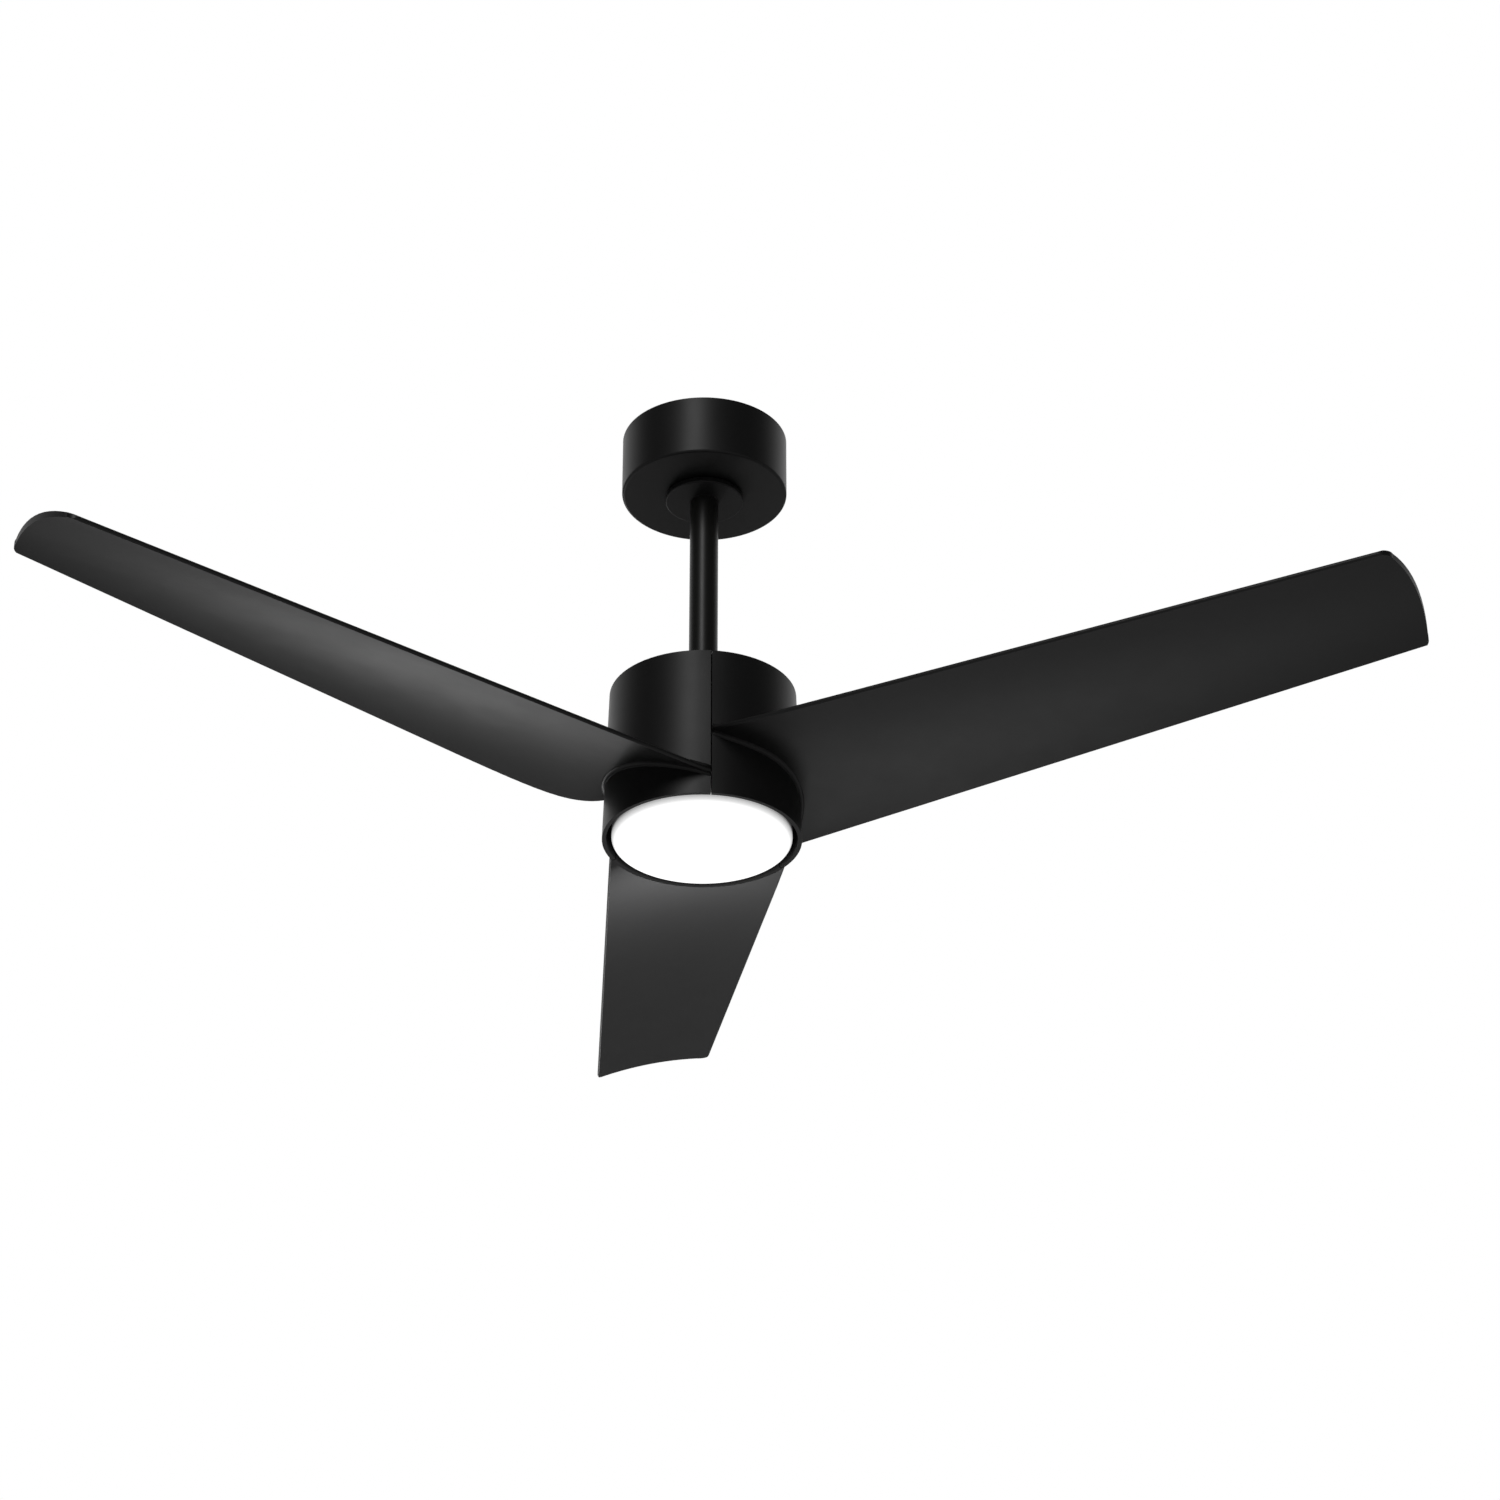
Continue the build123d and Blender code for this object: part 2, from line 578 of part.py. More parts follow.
with BuildPart() as hairpin_clip:
    with BuildLine() as route:
        FilletPolyline(
            (clip_x, 0, CLEVIS_PIN_Z + 7),
            (clip_x, 0, CLEVIS_PIN_Z - 9),
            (clip_x, 6, CLEVIS_PIN_Z - 9),
            (clip_x, 4.6, CLEVIS_PIN_Z + 5),
            radius=2.5,
        )
    with BuildSketch(Plane(origin=route.line @ 0, z_dir=route.line % 0)):
        Circle(clip_radius)
    sweep(path=route.line)
save(hairpin_clip.part, "hairpin_clip")

with BuildPart() as coupling_set_screws:
    for side in (-1, 1):
        outward = (0, side, 0)
        outer_end = (0, side * (ROD_RADIUS + SET_SCREW_LENGTH), SET_SCREW_Z)
        bar((0, side * ROD_RADIUS, SET_SCREW_Z), outward, SET_SCREW_RADIUS, SET_SCREW_LENGTH)
        with Locations(Plane(origin=outer_end, z_dir=outward)):
            Cylinder(1.7, 3, align=DOWN, mode=Mode.SUBTRACT)
save(coupling_set_screws.part, "coupling_set_screws")

with BuildPart() as coupling_cover:
    disc(COVER_RADIUS, COVER_TOP, COVER_BOTTOM)
    fillet(coupling_cover.faces().sort_by(Axis.Z)[-1].edges(), COVER_EDGE)
    disc(COVER_RADIUS - COVER_WALL, COVER_TOP - COVER_EDGE, COVER_BOTTOM, Mode.SUBTRACT)
    disc(ROD_RADIUS + 0.2, COVER_TOP, COVER_TOP - COVER_EDGE, Mode.SUBTRACT)
save(coupling_cover.part, "coupling_cover")

# --- Motor: the shaft and stator stay still -----------------------------------------------------------

motor_lead_z = LOWER_BEARING_TOP + 1.8
carrier_bottom = STATOR_BOTTOM - 1.5
board_thickness = 1.6
connector = (5, 6, 5)
connector_x = 25.5

with BuildPart() as motor_shaft:
    disc(SHAFT_RADIUS, SHAFT_TOP, SHAFT_BOTTOM)
    chamfer(motor_shaft.edges().filter_by(GeomType.CIRCLE), 0.8)
    disc(SHAFT_BORE_RADIUS, SHAFT_TOP, SHAFT_BOTTOM, Mode.SUBTRACT)
    bar((0, 0, motor_lead_z), (1, 0, 0), LEAD_RADIUS + 0.3, SHAFT_RADIUS, Mode.SUBTRACT)
save(motor_shaft.part, "motor_shaft")

with BuildPart() as shaft_spacer:
    ring(INNER_RING_RADIUS, SHAFT_RADIUS, LOWER_BEARING_TOP - BEARING_WIDTH, PAN_TOP + NUT)
save(shaft_spacer.part, "shaft_spacer")

with BuildPart() as shaft_nuts:
    for top, bottom in ((PAN_TOP + NUT, PAN_TOP), (PAN_TOP - PAN_WALL, SHAFT_BOTTOM + 0.5)):
        with BuildSketch(Plane.XY.offset(bottom)):
            RegularPolygon(NUT_FLAT, 6, major_radius=False)
            Circle(SHAFT_RADIUS, mode=Mode.SUBTRACT)
        extrude(amount=top - bottom)
save(shaft_nuts.part, "shaft_nuts")

with BuildPart() as stator_carrier:
    carrier_top = UPPER_BEARING_TOP - BEARING_WIDTH
    ring(STATOR_BORE_RADIUS, SHAFT_RADIUS, carrier_top - 2, carrier_bottom)
    ring(INNER_RING_RADIUS, SHAFT_RADIUS, carrier_top, carrier_top - 2)
save(stator_carrier.part, "stator_carrier")

tooth_end = STATOR_RADIUS - TOOTH_TIP

with BuildPart() as stator_core:
    with BuildSketch(Plane.XY.offset(STATOR_BOTTOM)):
        Circle(STATOR_RADIUS)
        Circle(tooth_end, mode=Mode.SUBTRACT)
        with PolarLocations(STATOR_RADIUS - 2, TEETH, start_angle=180 / TEETH):
            Rectangle(8, TOOTH_SLOT, mode=Mode.SUBTRACT)
        Circle(YOKE_RADIUS)
        Circle(STATOR_BORE_RADIUS, mode=Mode.SUBTRACT)
        with PolarLocations((YOKE_RADIUS + tooth_end) / 2, TEETH):
            Rectangle(tooth_end - YOKE_RADIUS + 2, TOOTH_WIDTH)
    extrude(amount=STATOR_TOP - STATOR_BOTTOM)
save(stator_core.part, "stator_core")

coil_height = STATOR_TOP - STATOR_BOTTOM + 2 * WINDING_OVERHANG
coil_width = TOOTH_WIDTH + 2 * WINDING_SIDE
stator_middle = (STATOR_TOP + STATOR_BOTTOM) / 2

with BuildPart() as stator_windings:
    for number in range(TEETH):
        outward = (*on_circle(1, number * 360 / TEETH), 0)
        start = (*on_circle(YOKE_RADIUS + 0.6, number * 360 / TEETH), stator_middle)
        with BuildSketch(Plane(origin=start, x_dir=(0, 0, 1), z_dir=outward)):
            RectangleRounded(coil_height, coil_width, 2.4)
            Rectangle(STATOR_TOP - STATOR_BOTTOM + 0.1, TOOTH_WIDTH + 0.1, mode=Mode.SUBTRACT)
        extrude(amount=tooth_end - YOKE_RADIUS - 1.4)
save(stator_windings.part, "stator_windings")

with BuildPart() as motor_board:
    ring(BOARD_RADIUS, BOARD_BORE_RADIUS, BOARD_TOP, BOARD_TOP - board_thickness)
    block(connector, (connector_x, 0, BOARD_TOP + connector[2] / 2))
    for angle in (80, 100, 120):
        block((3, 3, 1.4), (*on_circle(SENSOR_CIRCLE, angle), BOARD_TOP + 0.7))
save(motor_board.part, "motor_board")

with BuildPart() as board_posts:
    for angle in (75, 195, 315):
        disc(1.6, STATOR_BOTTOM, BOARD_TOP, at=on_circle(BOARD_POST_CIRCLE, angle))
save(board_posts.part, "board_posts")

# --- Bearings: inner rings stay still, outer rings turn with the rotor, balls and cages go between ----

bearing_middles = (UPPER_BEARING_TOP - BEARING_WIDTH / 2, LOWER_BEARING_TOP - BEARING_WIDTH / 2)
groove_radius = BEARING_BALL_RADIUS + 0.07


def bearing_rings(outer, inner):
    """One ring of each bearing, with the groove that the balls run in."""
    for middle in bearing_middles:
        top = middle + BEARING_WIDTH / 2
        disc(outer, top, top - BEARING_WIDTH)
        disc(inner, top, top - BEARING_WIDTH, Mode.SUBTRACT)
        with Locations((0, 0, middle)):
            Torus(BEARING_PITCH_RADIUS, groove_radius, mode=Mode.SUBTRACT)


with BuildPart() as bearing_inner_rings:
    bearing_rings(INNER_RING_RADIUS, SHAFT_RADIUS)
save(bearing_inner_rings.part, "bearing_inner_rings")

with BuildPart() as bearing_outer_rings:
    bearing_rings(BEARING_OUTER_RADIUS, OUTER_RING_BORE_RADIUS)
save(bearing_outer_rings.part, "bearing_outer_rings")

with BuildPart() as bearing_balls:
    for middle in bearing_middles:
        with Locations((0, 0, middle)):
            with PolarLocations(BEARING_PITCH_RADIUS, BEARING_BALLS):
                Sphere(BEARING_BALL_RADIUS)
save(bearing_balls.part, "bearing_balls")

with BuildPart() as bearing_cages:
    for middle in bearing_middles:
        ring(CAGE_OUTER_RADIUS, CAGE_INNER_RADIUS, middle + CAGE_HEIGHT / 2, middle - CAGE_HEIGHT / 2)
        for number in range(BEARING_BALLS):
            outward = (*on_circle(1, number * 360 / BEARING_BALLS), 0)
            bar((0, 0, middle), outward, groove_radius, BEARING_OUTER_RADIUS, Mode.SUBTRACT)
save(bearing_cages.part, "bearing_cages")

# --- Rotor housing, back iron and magnets -------------------------------------------------------------

rotor_inner_radius = MOTOR_RADIUS - MOTOR_WALL
magnet_inner_radius = STATOR_RADIUS + AIR_GAP
magnet_outer_radius = rotor_inner_radius - BACK_IRON
boss_bottom = UPPER_BEARING_TOP - BEARING_WIDTH
floor_top = MOTOR_BOTTOM + 4

with BuildPart() as rotor_upper_housing:
    disc(MOTOR_RADIUS, MOTOR_TOP, MOTOR_SPLIT)
    fillet(rotor_upper_housing.faces().sort_by(Axis.Z)[-1].edges(), 3)
    disc(FLANGE_RADIUS, MOTOR_SPLIT + FLANGE, MOTOR_SPLIT)
    disc(rotor_inner_radius, UPPER_BEARING_TOP, MOTOR_SPLIT, Mode.SUBTRACT)
    disc(BOSS_RADIUS, UPPER_BEARING_TOP, boss_bottom)
    disc(BEARING_OUTER_RADIUS, UPPER_BEARING_TOP, boss_bottom, Mode.SUBTRACT)
    disc(14.5, MOTOR_TOP, UPPER_BEARING_TOP, Mode.SUBTRACT)
    with Locations((0, 0, MOTOR_SPLIT)):
        with PolarLocations(HOUSING_SCREW_CIRCLE, HOUSING_SCREWS):
            Cylinder(SCREW_4[0] + SCREW_SLACK, FLANGE, align=UP, mode=Mode.SUBTRACT)
save(rotor_upper_housing.part, "rotor_upper_housing")

with BuildPart() as rotor_lower_housing:
    disc(MOTOR_RADIUS, MOTOR_SPLIT, MOTOR_BOTTOM)
    disc(FLANGE_RADIUS, MOTOR_SPLIT, MOTOR_SPLIT - FLANGE)
    disc(rotor_inner_radius, MOTOR_SPLIT, floor_top, Mode.SUBTRACT)
    disc(BOSS_RADIUS, LOWER_BEARING_TOP, floor_top)
    disc(BEARING_OUTER_RADIUS, LOWER_BEARING_TOP, MOTOR_BOTTOM + 1, Mode.SUBTRACT)
    disc(OUTER_RING_BORE_RADIUS, MOTOR_BOTTOM + 1, MOTOR_BOTTOM, Mode.SUBTRACT)
    with Locations((0, 0, MOTOR_SPLIT - FLANGE)):
        with PolarLocations(HOUSING_SCREW_CIRCLE, HOUSING_SCREWS):
            Cylinder(SCREW_4[0], FLANGE, align=UP, mode=Mode.SUBTRACT)
    for blade in range(BLADE_COUNT):
        for turn in (-BLADE_SCREW_SPREAD, 0, BLADE_SCREW_SPREAD):
            angle = FIRST_BLADE_ANGLE + blade * 360 / BLADE_COUNT + turn
            disc(SCREW_5[0], floor_top, MOTOR_BOTTOM, Mode.SUBTRACT, on_circle(BLADE_SCREW_CIRCLE, angle))
save(rotor_lower_housing.part, "rotor_lower_housing")

with BuildPart() as housing_screws:
    for number in range(HOUSING_SCREWS):
        place = on_circle(HOUSING_SCREW_CIRCLE, number * 360 / HOUSING_SCREWS)
        pan_screw((*place, MOTOR_SPLIT + FLANGE), (0, 0, 1), 2 * FLANGE, SCREW_4)
save(housing_screws.part, "housing_screws")

with BuildPart() as rotor_back_iron:
    ring(rotor_inner_radius, magnet_outer_radius, STATOR_TOP + 4, STATOR_BOTTOM - 4)
save(rotor_back_iron.part, "rotor_back_iron")

with BuildPart() as rotor_magnets:
    ring(magnet_outer_radius, magnet_inner_radius, STATOR_TOP + 1, STATOR_BOTTOM - 1)
    with Locations((0, 0, stator_middle)):
        with PolarLocations(magnet_inner_radius, MAGNETS):
            Box(10, 1.6, 30, mode=Mode.SUBTRACT)
save(rotor_magnets.part, "rotor_magnets")

# --- Blades, each moulded in one piece with its third of the hub shell --------------------------------

hub_taper = (HUB_RADIUS - HUB_TOP_RADIUS) / (HUB_TOP - HUB_BOTTOM)
blade_screw_hole = SCREW_5[0] + 0.1


def shell_radius(z):
    """The hub shell's outer radius at a height."""
    return HUB_RADIUS - hub_taper * (z - HUB_BOTTOM)


def along(run, u):
    """An edge's distance or height at u: its straight run and its pull towards the shell."""
    near, far, root = run
    straight = near + (far - near) * (u - ROOT_U) / (FAR_U - ROOT_U)
    return straight + (root - near) * math.exp((ROOT_U - u) / ROOT_PULL)


def blade_section(u):
    """The blade's cut at a distance from the axis: a thin crescent with rounded edges."""
    lead_v, lead_z = along(LEADING_PLAN, u), HUB_BOTTOM + along(LEADING_HEIGHT, u)
    trail_v, trail_z = along(TRAILING_PLAN, u), HUB_BOTTOM + along(TRAILING_HEIGHT, u)
    handle = (trail_v - lead_v) / 3
    slope = (trail_z - lead_z) / (trail_v - lead_v)
    camber = ROOT_CAMBER + (TIP_CAMBER - ROOT_CAMBER) * (u - ROOT_U) / (FAR_U - ROOT_U)
    lead_handle = (lead_v + handle, lead_z + handle * (slope + camber))
    trail_handle = (trail_v - handle, trail_z - handle * (slope - camber))
    # A cubic's middle is an eighth of its ends and three eighths of its handles
    handle_rise = (8 * BLADE_MIDDLE - 2 * BLADE_EDGE) / 6
    under = [(lead_v, lead_z), lead_handle, trail_handle, (trail_v, trail_z)]
    rises = (BLADE_EDGE, handle_rise, handle_rise, BLADE_EDGE)
    over = [(v, z + rise) for (v, z), rise in zip(under, rises)]
    with BuildSketch(Plane(origin=(u, 0, 0), x_dir=(0, 1, 0), z_dir=(1, 0, 0))) as section:
        with BuildLine():
            Bezier(*under)
            Bezier(*over)
            ThreePointArc(under[0], (lead_v - EDGE_ROUND, lead_z + BLADE_EDGE / 2), over[0])
            ThreePointArc(under[3], (trail_v + EDGE_ROUND, trail_z + BLADE_EDGE / 2), over[3])
        make_face()
    return section.sketch.face()


def blade_tip_outline():
    """A plan outline, wider than the blade except at its bulging tip and rounded corners."""
    start_u = SECTIONS_AT[0]
    lead_u, trail_u = TIP_U - LEADING_CORNER, TIP_U - TRAILING_CORNER
    lead_v = along(LEADING_PLAN, lead_u) - EDGE_ROUND
    trail_v = along(TRAILING_PLAN, trail_u) + EDGE_ROUND
    lead_end = (TIP_U, lead_v + LEADING_CORNER)
    trail_end = (TIP_U + 1, trail_v - TRAILING_CORNER)
    with BuildLine() as outline:
        RadiusArc((lead_u, lead_v), lead_end, -LEADING_CORNER)
        ThreePointArc(lead_end, (TIP_U + TIP_BULGE, (lead_v + trail_v) / 2), trail_end)
        RadiusArc(trail_end, (trail_u, trail_v), -TRAILING_CORNER)
        Polyline(
            (trail_u, trail_v),
            (trail_u, PAST_BLADE),
            (start_u, PAST_BLADE),
            (start_u, -PAST_BLADE),
            (lead_u, -PAST_BLADE),
            (lead_u, lead_v),
        )
    return outline.line


with BuildPart() as blade_master:
    loft([blade_section(u) for u in SECTIONS_AT])
    loft([blade_section(STRAIGHT_U), blade_section(LAST_SECTION_AT)], ruled=True)
    with BuildSketch(Plane.XY.offset(HUB_BOTTOM)):
        make_face(blade_tip_outline().edges())
    extrude(amount=HUB_TOP - HUB_BOTTOM, mode=Mode.INTERSECT)
    with BuildSketch(Plane.XZ):
        embed = HUB_WALL / 2
        Polygon(
            (0, HUB_TOP),
            (HUB_TOP_RADIUS - embed, HUB_TOP),
            (HUB_RADIUS - embed, HUB_BOTTOM),
            (0, HUB_BOTTOM),
            align=None,
        )
    revolve(axis=Axis.Z, mode=Mode.SUBTRACT)
    with BuildSketch(Plane.XZ):
        Polygon(
            (HUB_TOP_RADIUS - HUB_WALL, HUB_TOP),
            (HUB_TOP_RADIUS, HUB_TOP),
            (HUB_RADIUS, HUB_BOTTOM),
            (HUB_RADIUS - HUB_WALL, HUB_BOTTOM),
            align=None,
        )
        shelves = ((WEB_TOP, WEB, WEB_INNER_RADIUS), (LEDGE_TOP, LEDGE, LEDGE_INNER_RADIUS))
        for top, thickness, inner in shelves:
            Polygon(
                (inner, top),
                (shell_radius(top) - embed, top),
                (shell_radius(top - thickness) - embed, top - thickness),
                (inner, top - thickness),
                align=None,
            )
    revolve(axis=Axis.Z)
    for turn in (-BLADE_SCREW_SPREAD, 0, BLADE_SCREW_SPREAD):
        disc(blade_screw_hole, WEB_TOP, WEB_TOP - WEB, Mode.SUBTRACT, on_circle(BLADE_SCREW_CIRCLE, turn))
    disc(SCREW_3[0], LEDGE_TOP, LEDGE_TOP - LEDGE, Mode.SUBTRACT, (TOP_SCREW_CIRCLE, 0))
    for side in (-1, 1):
        seam_angle = side * 180 / BLADE_COUNT
        inward = (*on_circle(1, seam_angle - side * 90), 0)
        seam = Plane(origin=(0, 0, 0), z_dir=inward).offset(SEAM_GAP / 2)
        split(bisect_by=seam, keep=Keep.TOP)

for number in range(BLADE_COUNT):
    with BuildPart() as blade:
        add(blade_master.part, rotation=(0, 0, FIRST_BLADE_ANGLE + number * 360 / BLADE_COUNT))
    save(blade.part, f"blade_{number + 1}")

blade_angles = [FIRST_BLADE_ANGLE + number * 360 / BLADE_COUNT for number in range(BLADE_COUNT)]
blade_screw_angles = [
    angle + turn for angle in blade_angles for turn in (-BLADE_SCREW_SPREAD, 0, BLADE_SCREW_SPREAD)
]

with BuildPart() as blade_gaskets:
    ring(GASKET_OUTER_RADIUS, GASKET_INNER_RADIUS, MOTOR_BOTTOM, WEB_TOP)
    for angle in blade_angles:
        outward = (*on_circle(1, angle + 180 / BLADE_COUNT), 0)
        with Locations(Plane(origin=(0, 0, WEB_TOP + 0.5), x_dir=outward, z_dir=(0, 0, 1))):
            with Locations((BLADE_SCREW_CIRCLE, 0, 0)):
                Box(20, 4, 2, mode=Mode.SUBTRACT)
    for angle in blade_screw_angles:
        disc(blade_screw_hole, MOTOR_BOTTOM, WEB_TOP, Mode.SUBTRACT, on_circle(BLADE_SCREW_CIRCLE, angle))
save(blade_gaskets.part, "blade_gaskets")

with BuildPart() as blade_screws:
    for angle in blade_screw_angles:
        seat = (*on_circle(BLADE_SCREW_CIRCLE, angle), WEB_TOP - WEB)
        pan_screw(seat, (0, 0, -1), floor_top - WEB_TOP + WEB, SCREW_5)
save(blade_screws.part, "blade_screws")

top_cover_top = LEDGE_TOP + TOP_COVER

with BuildPart() as hub_top_cover:
    ring(shell_radius(top_cover_top) - HUB_WALL - FIT_GAP, COVER_RADIUS + 3, top_cover_top, LEDGE_TOP)
    chamfer(hub_top_cover.faces().sort_by(Axis.Z)[-1].edges(), 0.6)
    for angle in blade_angles:
        place = (*on_circle(TOP_SCREW_CIRCLE, angle), top_cover_top)
        flat_screw_hole(place, (0, 0, 1), SCREW_3[0], TOP_COVER, SCREW_3[1])
save(hub_top_cover.part, "hub_top_cover")

with BuildPart() as top_cover_screws:
    for angle in blade_angles:
        place = (*on_circle(TOP_SCREW_CIRCLE, angle), top_cover_top)
        flat_screw(place, (0, 0, 1), SCREW_3[0], TOP_COVER + LEDGE, SCREW_3[1])
save(top_cover_screws.part, "top_cover_screws")

# --- Light: a pan on the shaft's end, a driver, a board and a twist-off diffuser ----------------------

lug_angles = [90 + number * 120 for number in range(3)]
notch_slack = 1.5
notch_top = LUG_TOP + 0.5
notch_bottom = LUG_TOP - LUG_HEIGHT - 0.5


def sector(outer, inner, first, last, top, bottom, mode):
    """A piece of a ring between two angles in degrees."""
    with BuildSketch(Plane.XY.offset(bottom)) as flat:
        with BuildLine():
            CenterArc((0, 0), outer, first, last - first)
            CenterArc((0, 0), inner, first, last - first)
            Line(on_circle(inner, first), on_circle(outer, first))
            Line(on_circle(inner, last), on_circle(outer, last))
        make_face()
    extrude(flat.sketch, amount=top - bottom, mode=mode)


with BuildPart() as light_pan:
    disc(PAN_RADIUS, PAN_TOP, PAN_BOTTOM)
    fillet(light_pan.faces().sort_by(Axis.Z)[-1].edges(), 4)
    disc(PAN_LIP_RADIUS, PAN_LIP_TOP, PAN_LIP_TOP - PAN_WALL)
    disc(PAN_RADIUS - PAN_WALL, PAN_TOP - 4, PAN_BOTTOM, Mode.SUBTRACT)
    disc(PAN_RADIUS - 4, PAN_TOP - PAN_WALL, PAN_TOP - 4, Mode.SUBTRACT)
    disc(SHAFT_RADIUS, PAN_TOP, PAN_TOP - PAN_WALL, Mode.SUBTRACT)
    for angle in PILLAR_ANGLES:
        place = on_circle(PILLAR_CIRCLE, angle)
        disc(PILLAR_RADIUS, PAN_TOP - PAN_WALL, LED_BOARD_TOP, at=place)
        disc(SCREW_3[0], LED_BOARD_TOP + 8, LED_BOARD_TOP, Mode.SUBTRACT, place)
    for side in (-1, 1):
        disc(SCREW_3[0], PAN_TOP, PAN_TOP - PAN_WALL, Mode.SUBTRACT, (side * DRIVER_SCREW_X, DRIVER_Y))
    for angle in lug_angles:
        low, high = angle - LUG_ARC / 2 - notch_slack, angle + LUG_ARC / 2 + notch_slack
        sector(PAN_RADIUS + 2, PAN_RADIUS - 4, low, high + TWIST, notch_top, notch_bottom, Mode.SUBTRACT)
        low += TWIST
        sector(PAN_RADIUS + 2, PAN_RADIUS - 4, low, high + TWIST, notch_top, PAN_BOTTOM, Mode.SUBTRACT)
save(light_pan.part, "light_pan")

driver_top = PAN_TOP - PAN_WALL
driver_bottom = driver_top - DRIVER_HEIGHT

with BuildPart() as led_driver:
    block((DRIVER_LENGTH, DRIVER_WIDTH, DRIVER_HEIGHT), (0, DRIVER_Y, (driver_top + driver_bottom) / 2))
    fillet(led_driver.edges().filter_by(Axis.Z), 2)
    block((DRIVER_TAB_LENGTH, DRIVER_TAB_WIDTH, DRIVER_TAB), (0, DRIVER_Y, driver_top - DRIVER_TAB / 2))
    for side in (-1, 1):
        place = (side * DRIVER_SCREW_X, DRIVER_Y)
        disc(SCREW_3[0] + SCREW_SLACK, driver_top, driver_top - DRIVER_TAB, Mode.SUBTRACT, place)
save(led_driver.part, "led_driver")

with BuildPart() as driver_screws:
    for side in (-1, 1):
        seat = (side * DRIVER_SCREW_X, DRIVER_Y, driver_top - DRIVER_TAB)
        pan_screw(seat, (0, 0, -1), DRIVER_TAB + PAN_WALL, SCREW_3)
save(driver_screws.part, "driver_screws")

led_board_bottom = LED_BOARD_TOP - LED_BOARD

with BuildPart() as led_board:
    disc(LED_BOARD_RADIUS, LED_BOARD_TOP, led_board_bottom)
    for angle in PILLAR_ANGLES:
        place = on_circle(PILLAR_CIRCLE, angle)
        disc(SCREW_3[0] + SCREW_SLACK, LED_BOARD_TOP, led_board_bottom, Mode.SUBTRACT, place)
save(led_board.part, "led_board")

with BuildPart() as led_board_screws:
    for angle in PILLAR_ANGLES:
        pan_screw((*on_circle(PILLAR_CIRCLE, angle), led_board_bottom), (0, 0, -1), 8, SCREW_3)
save(led_board_screws.part, "led_board_screws")

with BuildPart() as leds:
    for radius, count in LED_CIRCLES:
        with Locations((0, 0, led_board_bottom)):
            with PolarLocations(radius, count):
                Box(*LED_SIZE, align=DOWN)
save(leds.part, "leds")

with BuildPart() as light_leads:
    for x in (-LIGHT_LEAD_X, LIGHT_LEAD_X):
        disc(LIGHT_LEAD_RADIUS, driver_bottom, LED_BOARD_TOP, at=(x, DRIVER_Y))
save(light_leads.part, "light_leads")

diffuser_inner_radius = DIFFUSER_RADIUS - DIFFUSER_WALL
diffuser_edge_radius = DIFFUSER_RADIUS - DIFFUSER_EDGE
diffuser_inside = DIFFUSER_FACE + DIFFUSER_WALL
edge_centre = (diffuser_edge_radius, DIFFUSER_FACE + DIFFUSER_EDGE)

with BuildPart() as diffuser:
    with BuildSketch(Plane.XZ):
        with BuildLine():
            Line((0, DIFFUSER_FACE), (diffuser_edge_radius, DIFFUSER_FACE))
            CenterArc(edge_centre, DIFFUSER_EDGE, -90, 90)
            Polyline(
                (DIFFUSER_RADIUS, edge_centre[1]),
                (DIFFUSER_RADIUS, DIFFUSER_TOP),
                (diffuser_inner_radius, DIFFUSER_TOP),
                (diffuser_inner_radius, edge_centre[1]),
            )
            CenterArc(edge_centre, DIFFUSER_EDGE - DIFFUSER_WALL, -90, 90)
            Polyline((diffuser_edge_radius, diffuser_inside), (0, diffuser_inside), (0, DIFFUSER_FACE))
        make_face()
    revolve(axis=Axis.Z)
    for angle in lug_angles:
        low, high = angle - LUG_ARC / 2, angle + LUG_ARC / 2
        lug_bottom = LUG_TOP - LUG_HEIGHT
        sector(diffuser_inner_radius + 1, LUG_INNER_RADIUS, low, high, LUG_TOP, lug_bottom, Mode.ADD)
save(diffuser.part, "diffuser")

# --- Wiring that the fan holds ------------------------------------------------------------------------

plug = (9, 11.6, 6)
driver_face_y = DRIVER_Y - DRIVER_WIDTH / 2
harness_start_y = -15.5

with BuildPart() as motor_harness:
    with BuildLine() as route:
        FilletPolyline(
            (0, harness_start_y, PLUG_Z),
            (0, -HARNESS_OFFSET, PLUG_Z),
            (0, -HARNESS_OFFSET, CLEVIS_PIN_Z - 5),
            (0, 0, ROD_BOTTOM + 3),
            (0, 0, SHAFT_BOTTOM - LEAD_BEND),
            (0, driver_face_y, SHAFT_BOTTOM - LEAD_BEND),
            radius=(HARNESS_BEND, LEAD_BEND, LEAD_BEND, LEAD_BEND),
        )
    with BuildSketch(Plane(origin=route.line @ 0, z_dir=route.line % 0)):
        Circle(HARNESS_RADIUS)
    sweep(path=route.line)
save(motor_harness.part, "motor_harness")

with BuildPart() as harness_plug:
    block(plug, (0, harness_start_y - plug[1] / 2, PLUG_Z))
    fillet(harness_plug.edges().filter_by(Axis.Y), 1)
save(harness_plug.part, "harness_plug")

with BuildPart() as motor_lead:
    lead_start = HARNESS_RADIUS + 0.1
    bar((lead_start, 0, motor_lead_z), (1, 0, 0), LEAD_RADIUS, connector_x - connector[0] / 2 - lead_start)
save(motor_lead.part, "motor_lead")
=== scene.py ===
import json
import math

import bmesh
import bpy
from mathutils import Matrix, Vector


